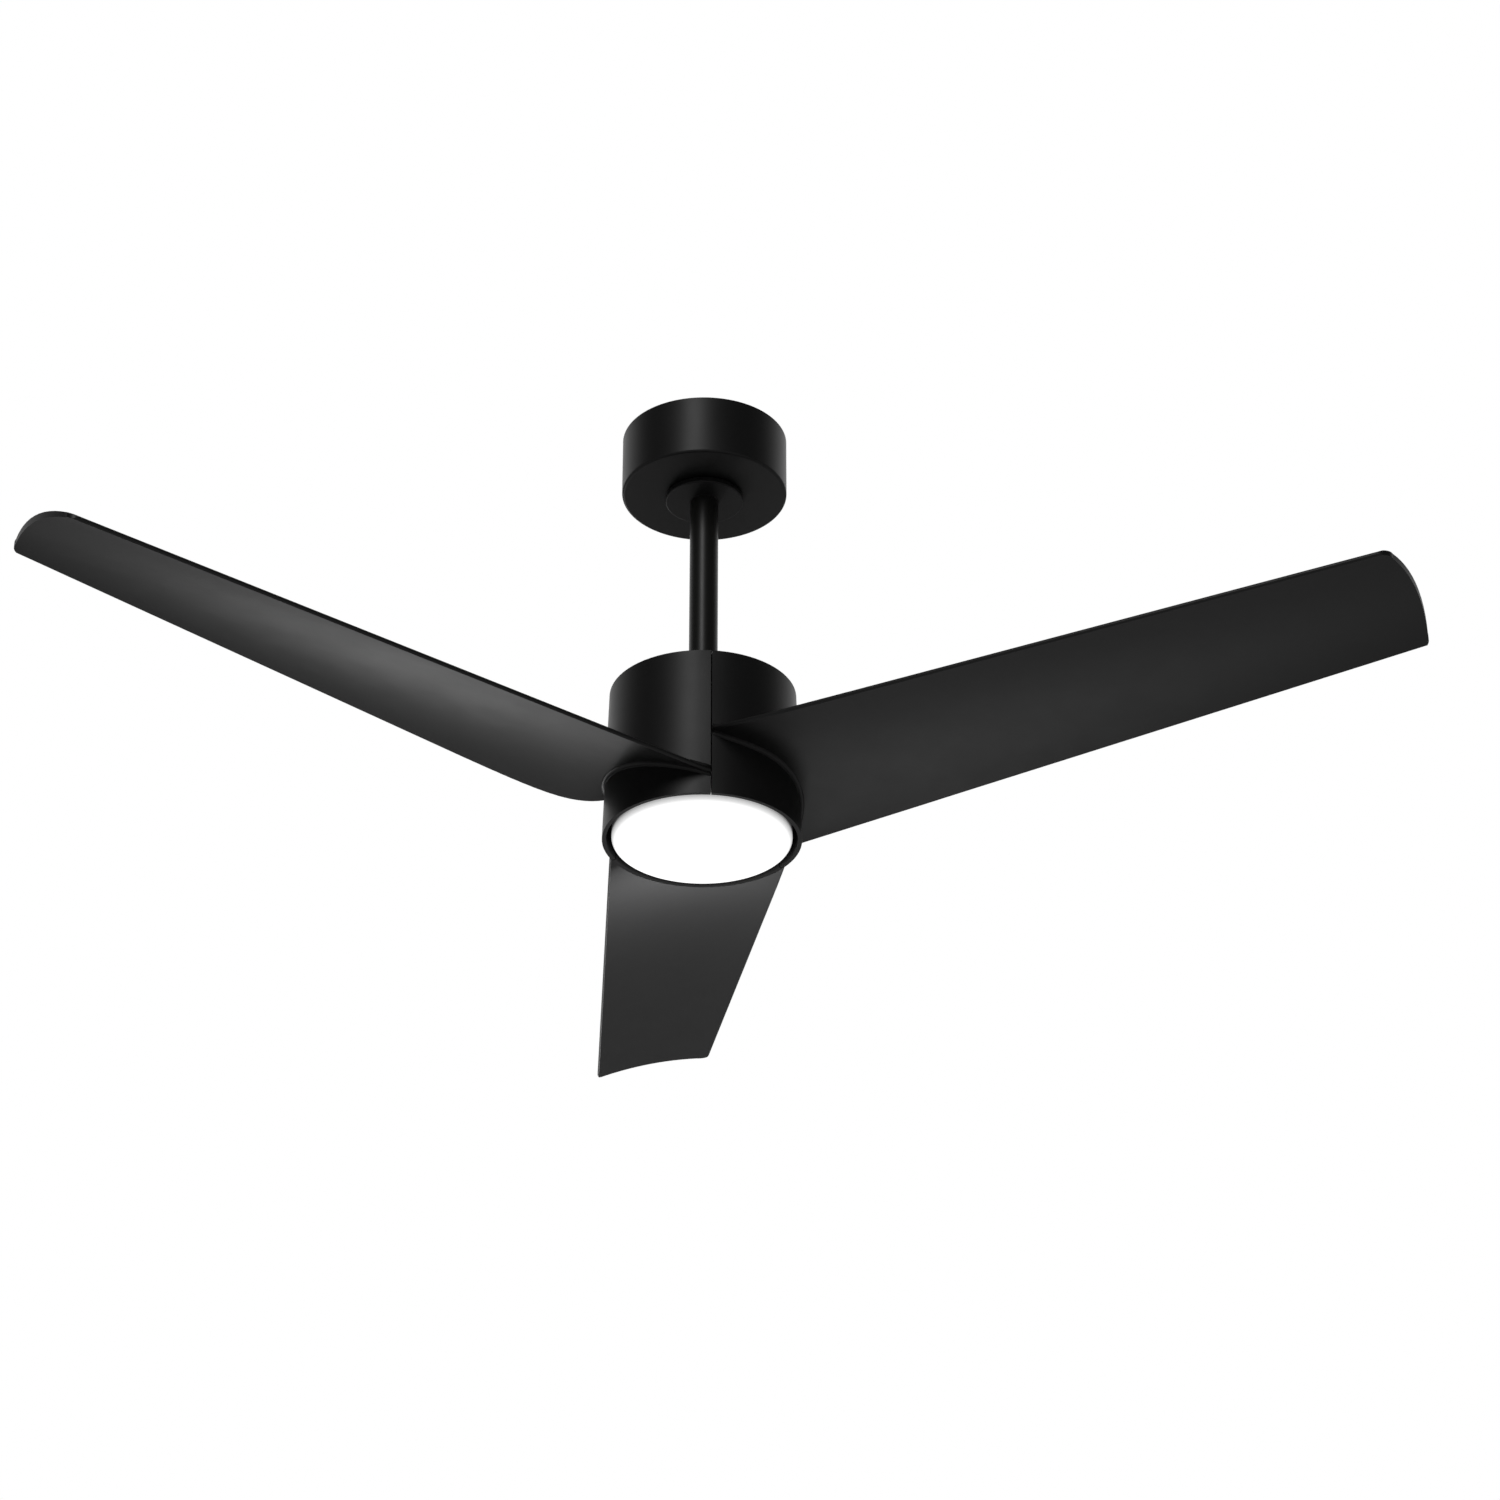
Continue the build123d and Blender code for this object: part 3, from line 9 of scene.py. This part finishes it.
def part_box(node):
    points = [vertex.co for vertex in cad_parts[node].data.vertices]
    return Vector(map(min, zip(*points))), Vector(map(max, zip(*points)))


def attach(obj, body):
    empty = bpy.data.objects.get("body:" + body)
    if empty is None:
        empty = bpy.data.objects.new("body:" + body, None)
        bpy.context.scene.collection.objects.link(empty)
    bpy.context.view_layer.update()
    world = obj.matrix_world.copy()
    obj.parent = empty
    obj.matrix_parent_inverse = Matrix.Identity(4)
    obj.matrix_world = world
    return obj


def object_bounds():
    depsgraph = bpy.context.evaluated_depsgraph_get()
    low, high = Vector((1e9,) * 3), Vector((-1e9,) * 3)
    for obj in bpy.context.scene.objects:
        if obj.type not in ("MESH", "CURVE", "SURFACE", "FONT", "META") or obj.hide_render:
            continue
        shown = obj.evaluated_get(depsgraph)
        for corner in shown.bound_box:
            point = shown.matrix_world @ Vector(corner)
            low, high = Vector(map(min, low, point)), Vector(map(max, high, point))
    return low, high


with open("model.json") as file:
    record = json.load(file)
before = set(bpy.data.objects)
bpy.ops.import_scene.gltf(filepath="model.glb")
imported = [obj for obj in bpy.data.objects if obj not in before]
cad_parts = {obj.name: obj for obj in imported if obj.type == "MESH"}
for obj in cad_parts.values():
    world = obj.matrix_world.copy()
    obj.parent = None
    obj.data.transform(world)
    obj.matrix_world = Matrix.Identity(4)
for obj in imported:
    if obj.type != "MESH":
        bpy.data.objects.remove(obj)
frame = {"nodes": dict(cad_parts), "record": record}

CAD_BOX = [list(corner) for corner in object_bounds()]

# A black ceiling fan with a light, seen from below. Metres, in the CAD frame: the ceiling is at z = 0.

# --- Driving values ------------------------------------------------------------------------------------

CAMERA_DISTANCE = 3.4          # from the hub's lower rim, along the line of sight
CAMERA_BELOW = math.radians(28.2)
CAMERA_YAW = 0.01375           # turns the view to the right, radians
CAMERA_LIFT = 0.023            # turns the view up, radians
LENS = 95.064                  # millimetres
SENSOR = 36.0                  # millimetres
SIGHT_LIMIT = 200.0            # how far the camera sees

BLADES = ("blade_1", "blade_2", "blade_3")
FILLET = 0.0032                # reach of the fillet between a blade and the hub shell
FILLET_STEPS = 5
HUB_RADIUS = 0.086             # the shell's outer radius at its bottom
HUB_TAPER = 0.0042 / 0.142     # and how fast it shrinks with height
SHELL_SLACK = 0.00005          # how far off the shell's face a point may lie
FILLET_DEPTH = 0.0004          # how far the fillet's back reaches inside the corner
SAME_POINT = 0.000001          # mesh points closer than this are one
SHELL_FACING = 0.99            # the shell's faces look outward at least this squarely
BLADE_FACING = 0.95            # and the blade's at most this squarely
RIM_LEVEL = 0.999              # a face more level than this is the shell's rim
SEAM_UPRIGHT = 0.9999999       # an edge whose ends point out more alike than this is a seam

FLOOR_DROP = 7.0               # from the fan's lowest point to the floor
FLOOR_REACH = 150.0            # from the middle of the floor to its sides
WORLD_LIGHT = 0.05             # the studio's light all round
BACK_LIGHT = 1.2               # and behind the fan


# --- Node helpers --------------------------------------------------------------------------------------


class Shader:
    """A small builder for one procedural material."""

    def __init__(self, name):
        self.material = bpy.data.materials.new(name)
        self.material.use_nodes = True
        self.tree = self.material.node_tree
        self.nodes = self.tree.nodes
        self.links = self.tree.links
        self.surface = self.nodes["Principled BSDF"]
        self.place = self.nodes.new("ShaderNodeTexCoord").outputs["Object"]

    def set(self, **values):
        """Sets constant inputs of the surface shader; underscores stand for spaces."""
        for name, value in values.items():
            self.surface.inputs[name.replace("_", " ")].default_value = value

    def join(self, output, name):
        """Links an output to an input of the surface shader."""
        self.links.new(output, self.surface.inputs[name])

    def noise(self, scale, detail=4.0, roughness=0.55, stretch=(1, 1, 1)):
        """Noise in object space, where scale counts features per metre."""
        mapping = self.nodes.new("ShaderNodeMapping")
        mapping.inputs["Scale"].default_value = stretch
        self.links.new(self.place, mapping.inputs["Vector"])
        texture = self.nodes.new("ShaderNodeTexNoise")
        texture.inputs["Scale"].default_value = scale
        texture.inputs["Detail"].default_value = detail
        texture.inputs["Roughness"].default_value = roughness
        self.links.new(mapping.outputs["Vector"], texture.inputs["Vector"])
        return texture.outputs["Fac"]

    def cells(self, scale):
        """Distance to the nearest cell centre, for a fine moulded grain."""
        texture = self.nodes.new("ShaderNodeTexVoronoi")
        texture.inputs["Scale"].default_value = scale
        self.links.new(self.place, texture.inputs["Vector"])
        return texture.outputs["Distance"]

    def spread(self, source, low, high, start=0.3, end=0.7):
        """Maps a factor onto a range."""
        node = self.nodes.new("ShaderNodeMapRange")
        node.inputs["From Min"].default_value = start
        node.inputs["From Max"].default_value = end
        node.inputs["To Min"].default_value = low
        node.inputs["To Max"].default_value = high
        self.links.new(source, node.inputs["Value"])
        return node.outputs["Result"]

    def ramp(self, source, stops):
        """Maps a factor onto colours, given as (position, colour) pairs."""
        node = self.nodes.new("ShaderNodeValToRGB")
        elements = node.color_ramp.elements
        while len(elements) < len(stops):
            elements.new(0.5)
        for element, (position, colour) in zip(elements, stops):
            element.position = position
            element.color = (*colour, 1)
        self.links.new(source, node.inputs["Fac"])
        return node.outputs["Color"]

    def bump(self, sources, strength=0.2):
        """Bumps the surface by a chain of (height, distance in metres) pairs."""
        before = None
        for height, distance in sources:
            node = self.nodes.new("ShaderNodeBump")
            node.inputs["Strength"].default_value = strength
            node.inputs["Distance"].default_value = distance
            self.links.new(height, node.inputs["Height"])
            if before:
                self.links.new(before, node.inputs["Normal"])
            before = node.outputs["Normal"]
        self.join(before, "Normal")


# --- Materials -----------------------------------------------------------------------------------------


def shaded(colour, factor):
    """A colour made lighter or darker."""
    return tuple(channel * factor for channel in colour)


def coated(name, colour, roughness, grain, bump, coat=0.0, sheen=0.0, metal=0.0, vary=0.22, gloss=0.5):
    """A painted or moulded surface: soft colour drift, uneven gloss and a fine grain."""
    shader = Shader(name)
    shader.set(Metallic=metal, Specular_IOR_Level=gloss)
    shader.set(Coat_Weight=coat, Coat_Roughness=0.35, Sheen_Weight=sheen)
    drift = shader.noise(9.0, 3.0)
    colours = ((0.25, shaded(colour, 1 - vary)), (0.75, shaded(colour, 1 + vary)))
    shader.join(shader.ramp(drift, colours), "Base Color")
    uneven = shader.noise(30.0, 4.0)
    shader.join(shader.spread(uneven, roughness * 0.97, roughness * 1.03), "Roughness")
    shader.bump(((shader.cells(grain), bump), (shader.noise(grain * 0.45, 3.0), bump * 0.8)))
    return shader.material


def metal(name, colour, roughness, brush=(1, 1, 1), grain=900.0, bump=0.00002):
    """Bare metal with machining or brushing marks along one direction."""
    shader = Shader(name)
    shader.set(Metallic=1.0)
    marks = shader.noise(grain, 4.0, 0.6, brush)
    colours = ((0.3, shaded(colour, 0.86)), (0.7, shaded(colour, 1.08)))
    shader.join(shader.ramp(marks, colours), "Base Color")
    shader.join(shader.spread(marks, roughness * 0.8, roughness * 1.25), "Roughness")
    shader.bump(((marks, bump),))
    return shader.material


def glowing(name, colour, strength, low, reach, stops):
    """An opal part lit from inside, with a glow that follows height above low; the diffuser's fade with
    height is painted shade.

    Each stop is a share of reach and a grey.
    """
    shader = Shader(name)
    shader.set(Roughness=0.42, Coat_Weight=0.15, Coat_Roughness=0.2, Emission_Strength=strength)
    clouds = shader.noise(9.0, 3.0)
    shader.join(shader.ramp(clouds, ((0.3, shaded(colour, 0.97)), (0.7, colour))), "Base Color")
    height = shader.nodes.new("ShaderNodeSeparateXYZ")
    shader.links.new(shader.place, height.inputs["Vector"])
    share = shader.spread(height.outputs["Z"], 0.0, 1.0, low, low + reach)
    greys = [(position, (grey, grey, grey)) for position, grey in stops]
    shader.join(shader.ramp(share, greys), "Emission Color")
    shader.bump(((shader.noise(700.0, 2.0), 0.00001),))
    return shader.material


LED_GLOW = ((0.0, 1.0), (1.0, 0.9))
# The diffuser's face glows fully; its glow fading up the edge and the wall inside the hub shell is painted
# shade.
DIFFUSER_GLOW_AND_PAINTED_SHADE = ((0.0, 1.0), (0.06, 0.86), (0.2, 0.58), (0.5, 0.33), (0.72, 0.03), (1.0, 0.0))

MATERIALS = {
    "blade_black": coated("blade black", (0.0070, 0.0070, 0.0071), 0.46, 2400.0, 0.000008, vary=0.06),
    "canopy_black": coated("canopy black", (0.0070, 0.0070, 0.0071), 0.44, 1900.0, 0.000008, vary=0.06),
    "rod_black": coated("rod black", (0.0095, 0.0095, 0.0085), 0.40, 2100.0, 0.000008, vary=0.06),
    "trim_black": coated("trim black", (0.0070, 0.0070, 0.0070), 0.46, 2400.0, 0.000008, vary=0.06),
    "dark_plastic": coated("dark plastic", (0.018, 0.018, 0.018), 0.55, 1500.0, 0.00005),
    "opal": glowing("opal", (0.80, 0.80, 0.80), 1.05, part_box("diffuser")[0].z, 0.012, DIFFUSER_GLOW_AND_PAINTED_SHADE),
    "bracket_steel": metal("bracket steel", (0.12, 0.12, 0.13), 0.45, (1, 6, 1), 260.0),
    "steel": metal("zinc plated steel", (0.52, 0.52, 0.50), 0.33, (1, 1, 5), 500.0),
    "bearing_steel": metal("bearing steel", (0.62, 0.62, 0.64), 0.14, (1, 1, 9), 800.0, 0.000004),
    "cast_aluminium": coated(
        "cast aluminium", (0.42, 0.42, 0.43), 0.48, 1100.0, 0.00008, metal=0.9, vary=0.1
    ),
    "lamination": metal("lamination", (0.20, 0.20, 0.21), 0.42, (0.05, 0.05, 30), 90.0, 0.00006),
    "magnet": coated("magnet", (0.035, 0.035, 0.037), 0.5, 1200.0, 0.00005),
    "copper": metal("enamelled copper", (0.52, 0.20, 0.08), 0.28, (1, 1, 14), 150.0, 0.00012),
    "brass": metal("brass", (0.62, 0.44, 0.17), 0.3, (8, 1, 8), 300.0),
    "nylon": coated("nylon", (0.72, 0.70, 0.64), 0.5, 1300.0, 0.00003, vary=0.05),
    "ball_plastic": coated("ball plastic", (0.035, 0.035, 0.036), 0.42, 1600.0, 0.00003),
    "rubber": coated("rubber", (0.012, 0.012, 0.012), 0.7, 1800.0, 0.00004, sheen=0.1),
    "circuit": coated("solder mask", (0.03, 0.16, 0.06), 0.35, 700.0, 0.00005, coat=0.3),
    "driver_case": coated("driver case", (0.72, 0.72, 0.69), 0.5, 1300.0, 0.00004, vary=0.05),
    "led_board": coated("white solder mask", (0.82, 0.82, 0.80), 0.4, 1000.0, 0.00003, vary=0.04),
    "led": glowing("phosphor", (0.90, 0.80, 0.40), 3.0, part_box("leds")[0].z, 0.001, LED_GLOW),
    "cable": coated("cable sheath", (0.03, 0.03, 0.03), 0.5, 900.0, 0.00004),
    "lead": coated("lead insulation", (0.35, 0.03, 0.025), 0.4, 900.0, 0.00003),
}


def clothe_nodes():
    """Gives each CAD node the procedural material of its slot."""
    for subpart in frame["record"]["subparts"]:
        node = frame["nodes"][subpart["node"]]
        material = MATERIALS[subpart["material_slot"]]
        if not node.material_slots:
            node.data.materials.append(material)
        for slot in node.material_slots:
            slot.material = material


clothe_nodes()

# --- Fillets between the blades and the hub shell ------------------------------------------------------


def on_shell(point):
    """True for a point on the hub shell's outer face."""
    radius = HUB_RADIUS - HUB_TAPER * (point.z - HUB_BOTTOM)
    return abs(math.hypot(point.x, point.y) - radius) < SHELL_SLACK


def outward(point):
    """The horizontal direction from the fan's axis to a point."""
    return Vector((point.x, point.y, 0)).normalized()


def facing_inward(face):
    """Grows as a face turns away from looking straight out from the axis."""
    return -face.normal.dot(outward(face.calc_center_median()))


def root_edges(mesh):
    """The edges where a blade meets its shell, each with the shell's face and the blade's."""
    found = []
    for edge in mesh.edges:
        if len(edge.link_faces) != 2 or not all(on_shell(vert.co) for vert in edge.verts):
            continue
        shell, blade = sorted(edge.link_faces, key=facing_inward)
        middle = outward(edge.verts[0].co)
        if shell.normal.dot(middle) < SHELL_FACING or blade.normal.dot(middle) > BLADE_FACING:
            continue
        at_rim = abs(blade.normal.z) > RIM_LEVEL
        on_seam = middle.dot(outward(edge.verts[1].co)) > SEAM_UPRIGHT
        if not at_rim and not on_seam:
            found.append((edge, shell.normal, blade.normal))
    return found


def in_chains(edges):
    """Orders edges into runs of vertices."""
    beside = {}
    for edge in edges:
        for vert in edge.verts:
            beside.setdefault(vert, []).append(edge.other_vert(vert))
    chains, used = [], set()
    starts = sorted(beside, key=lambda vert: (len(beside[vert]) != 1, vert.index))
    for start in starts:
        if start in used:
            continue
        chain = [start]
        used.add(start)
        while True:
            ahead = [vert for vert in beside[chain[-1]] if vert not in used]
            if not ahead:
                break
            chain.append(ahead[0])
            used.add(ahead[0])
        if len(chain) > 2:
            chains.append(chain)
    return chains


def fillet_profile(corner, shell_normal, blade_normal):
    """A concave corner section: from the shell towards the corner, out along the blade, and back inside."""
    along_shell = (blade_normal - blade_normal.dot(shell_normal) * shell_normal).normalized()
    along_blade = (shell_normal - shell_normal.dot(blade_normal) * blade_normal).normalized()
    points = []
    for step in range(FILLET_STEPS + 1):
        t = step / FILLET_STEPS
        points.append(corner + FILLET * ((1 - t) ** 2 * along_shell + t**2 * along_blade))
    points.append(corner - FILLET_DEPTH * (shell_normal + blade_normal))
    return points


def add_fillets(name):
    """Runs a small concave fillet along every edge where a blade meets its shell."""
    source = bmesh.new()
    source.from_mesh(frame["nodes"][name].data)
    bmesh.ops.remove_doubles(source, verts=source.verts, dist=SAME_POINT)
    source.verts.index_update()
    edges = root_edges(source)
    normals = {}
    for edge, shell_normal, blade_normal in edges:
        for vert in edge.verts:
            shell_sum, blade_sum = normals.get(vert, (Vector(), Vector()))
            normals[vert] = (shell_sum + shell_normal, blade_sum + blade_normal)
    mesh = bmesh.new()
    for chain in in_chains([edge for edge, _, _ in edges]):
        rings = []
        for vert in chain:
            shell_normal, blade_normal = (normal.normalized() for normal in normals[vert])
            profile = fillet_profile(vert.co, shell_normal, blade_normal)
            rings.append([mesh.verts.new(point) for point in profile])
        count = len(rings[0])
        for near, far in zip(rings, rings[1:]):
            for side in range(count):
                after = (side + 1) % count
                face = mesh.faces.new((near[side], near[after], far[after], far[side]))
                face.smooth = side < FILLET_STEPS
        mesh.faces.new(rings[0])
        mesh.faces.new(rings[-1])
    bmesh.ops.recalc_face_normals(mesh, faces=mesh.faces)
    data = bpy.data.meshes.new(f"{name}_fillet")
    mesh.to_mesh(data)
    data.materials.append(MATERIALS["blade_black"])
    piece = bpy.data.objects.new(f"{name}_fillet", data)
    bpy.context.scene.collection.objects.link(piece)
    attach(piece, "rotor")
    mesh.free()
    source.free()


HUB_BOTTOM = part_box("blade_1")[0].z
for blade_name in BLADES:
    add_fillets(blade_name)

# --- Stage, lights and camera --------------------------------------------------------------------------


def make_floor():
    """A plain pale floor well below the fan."""
    mesh = bpy.data.meshes.new("floor")
    level = CAD_BOX[0][2] - FLOOR_DROP
    signs = ((-1, -1), (1, -1), (1, 1), (-1, 1))
    corners = [(x * FLOOR_REACH, y * FLOOR_REACH, level) for x, y in signs]
    mesh.from_pydata(corners, [], [(0, 1, 2, 3)])
    floor = bpy.data.objects.new("floor", mesh)
    bpy.context.scene.collection.objects.link(floor)
    shader = Shader("floor")
    shader.set(Roughness=0.9)
    greys = ((0.3, (0.80, 0.80, 0.80)), (0.7, (0.84, 0.84, 0.84)))
    shader.join(shader.ramp(shader.noise(0.6), greys), "Base Color")
    mesh.materials.append(shader.material)


def make_world():
    """A studio that is white to the eye. As a light it is bright behind the fan and dim all round."""
    world = bpy.data.worlds.new("studio")
    bpy.context.scene.world = world
    world.use_nodes = True
    nodes, links = world.node_tree.nodes, world.node_tree.links

    def graded(source, start, end):
        """Zero to one as a direction's coordinate goes from start to end."""
        node = nodes.new("ShaderNodeMapRange")
        node.inputs["From Min"].default_value = start
        node.inputs["From Max"].default_value = end
        links.new(source, node.inputs["Value"])
        return node.outputs["Result"]

    direction = nodes.new("ShaderNodeSeparateXYZ")
    links.new(nodes.new("ShaderNodeTexCoord").outputs["Generated"], direction.inputs["Vector"])
    behind = nodes.new("ShaderNodeMath")
    behind.operation = "MULTIPLY"
    links.new(graded(direction.outputs["Y"], 0.1, 0.9), behind.inputs[0])
    links.new(graded(direction.outputs["Z"], 0.0, 0.5), behind.inputs[1])
    strength = nodes.new("ShaderNodeMapRange")
    strength.inputs["To Min"].default_value = WORLD_LIGHT
    strength.inputs["To Max"].default_value = BACK_LIGHT
    links.new(behind.outputs["Value"], strength.inputs["Value"])
    light = nodes["Background"]
    light.inputs["Color"].default_value = (1, 1, 1, 1)
    links.new(strength.outputs["Result"], light.inputs["Strength"])
    seen = nodes.new("ShaderNodeBackground")
    seen.inputs["Color"].default_value = (1, 1, 1, 1)
    mix = nodes.new("ShaderNodeMixShader")
    links.new(nodes.new("ShaderNodeLightPath").outputs["Is Camera Ray"], mix.inputs["Fac"])
    links.new(light.outputs["Background"], mix.inputs[1])
    links.new(seen.outputs["Background"], mix.inputs[2])
    links.new(mix.outputs["Shader"], nodes["World Output"].inputs["Surface"])


def area_light(name, place, target, size, power, size_y=None):
    """A soft rectangular light that faces a point."""
    data = bpy.data.lights.new(name, "AREA")
    data.shape = "RECTANGLE"
    data.size = size
    data.size_y = size_y or size
    data.energy = power
    light = bpy.data.objects.new(name, data)
    light.location = place
    light.rotation_euler = (Vector(target) - Vector(place)).to_track_quat("-Z", "Y").to_euler()
    light.visible_camera = False
    bpy.context.scene.collection.objects.link(light)


def make_lights():
    """Soft boxes in front for the drums and behind and below for the blades, and a glow by the lamp."""
    bottom = CAD_BOX[0][2]
    hub = (0, 0, (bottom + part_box("hub_top_cover")[1].z) / 2)
    area_light("front box", (-0.65, -2.6, 1.05), hub, 0.7, 20.0, 1.6)
    area_light("low box", (0.12, 0.95, -2.3), hub, 0.7, 3.4)
    area_light("rear box", (-0.75, 2.1, -0.7), hub, 0.45, 2.6)
    area_light("lamp glow", (0, 0.14, bottom - 0.035), (0, 0.21, bottom + 0.015), 0.12, 1.2, 0.03)


def make_camera():
    """The camera looks up at the hub from in front and below."""
    hub = Vector((0, 0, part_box("blade_1")[0].z))
    place = hub + CAMERA_DISTANCE * Vector((0, -math.cos(CAMERA_BELOW), -math.sin(CAMERA_BELOW)))
    rise = CAMERA_BELOW + CAMERA_LIFT
    right = Vector((math.cos(CAMERA_YAW), -math.sin(CAMERA_YAW), 0))
    level = Vector((math.sin(CAMERA_YAW), math.cos(CAMERA_YAW), 0))
    ahead = math.cos(rise) * level + math.sin(rise) * Vector((0, 0, 1))
    up = right.cross(ahead)
    data = bpy.data.cameras.new("camera")
    data.sensor_width = SENSOR
    data.lens = LENS
    data.clip_end = SIGHT_LIMIT
    camera = bpy.data.objects.new("camera", data)
    camera.matrix_world = Matrix((right, up, -ahead)).transposed().to_4x4()
    camera.location = place
    bpy.context.scene.collection.objects.link(camera)
    bpy.context.scene.camera = camera


make_camera()
make_world()
make_floor()
make_lights()

bpy.context.scene.view_settings.view_transform = "Standard"
